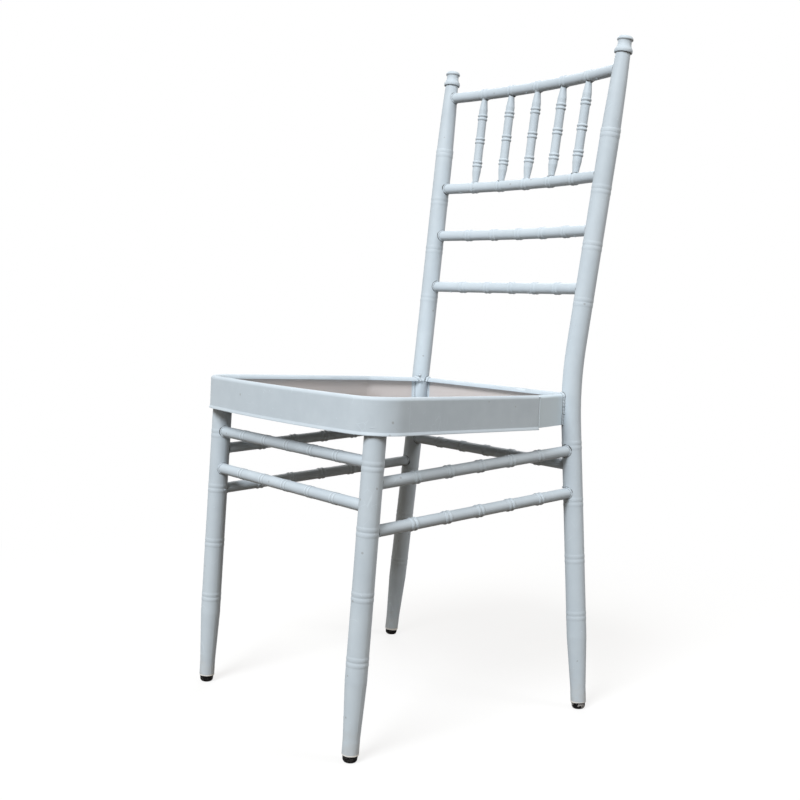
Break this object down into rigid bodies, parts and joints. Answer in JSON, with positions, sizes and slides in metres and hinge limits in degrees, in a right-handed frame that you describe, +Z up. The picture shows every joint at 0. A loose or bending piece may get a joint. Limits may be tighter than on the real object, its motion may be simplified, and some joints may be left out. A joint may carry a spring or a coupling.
{
  "type": "chiavari chair",
  "caption": "Armless stacking chair of grey powder-coated steel tube with bamboo rings, a ladder back with spindles and turned finials, and an open seat recess for a loose cushion.",
  "frame": {"origin": "on the floor, in the middle of the chair's width and depth", "axes": "+Z up, +X towards the sitter's left, front of the seat towards -Y"},
  "size_m": [0.435, 0.4754, 0.9213],
  "materials": {
    "powder_coat": "satin silver-grey powder coat with fine orange peel",
    "foot_rubber": "matt black, scuffed",
    "screw_steel": "zinc-plated"
  },
  "bodies": {
    "root": {"front_leg_left": "powder_coat", "back_post_left": "powder_coat", "finial_left": "powder_coat", "front_leg_right": "powder_coat", "back_post_right": "powder_coat", "finial_right": "powder_coat", "back_rail_top": "powder_coat", "back_rail_second": "powder_coat", "back_rail_third": "powder_coat", "back_rail_lowest": "powder_coat", "spindle_1": "powder_coat", "spindle_2": "powder_coat", "spindle_3": "powder_coat", "spindle_4": "powder_coat", "spindle_5": "powder_coat", "front_stretcher_upper": "powder_coat", "front_stretcher_lower": "powder_coat", "back_stretcher": "powder_coat", "side_stretcher_upper_left": "powder_coat", "side_stretcher_upper_right": "powder_coat", "side_stretcher_lower_left": "powder_coat", "side_stretcher_lower_right": "powder_coat", "seat_band_front": "powder_coat", "seat_band_side_left": "powder_coat", "seat_band_side_right": "powder_coat", "seat_band_rear": "powder_coat", "corner_plate_front_left": "powder_coat", "corner_plate_front_right": "powder_coat", "corner_plate_rear_left": "powder_coat", "corner_plate_rear_right": "powder_coat", "seat_panel": "powder_coat", "foot_cap_front_left": "foot_rubber", "foot_cap_front_right": "foot_rubber", "foot_cap_back_left": "foot_rubber", "foot_cap_back_right": "foot_rubber", "seat_screws": "screw_steel"}
  },
  "joints": []
}
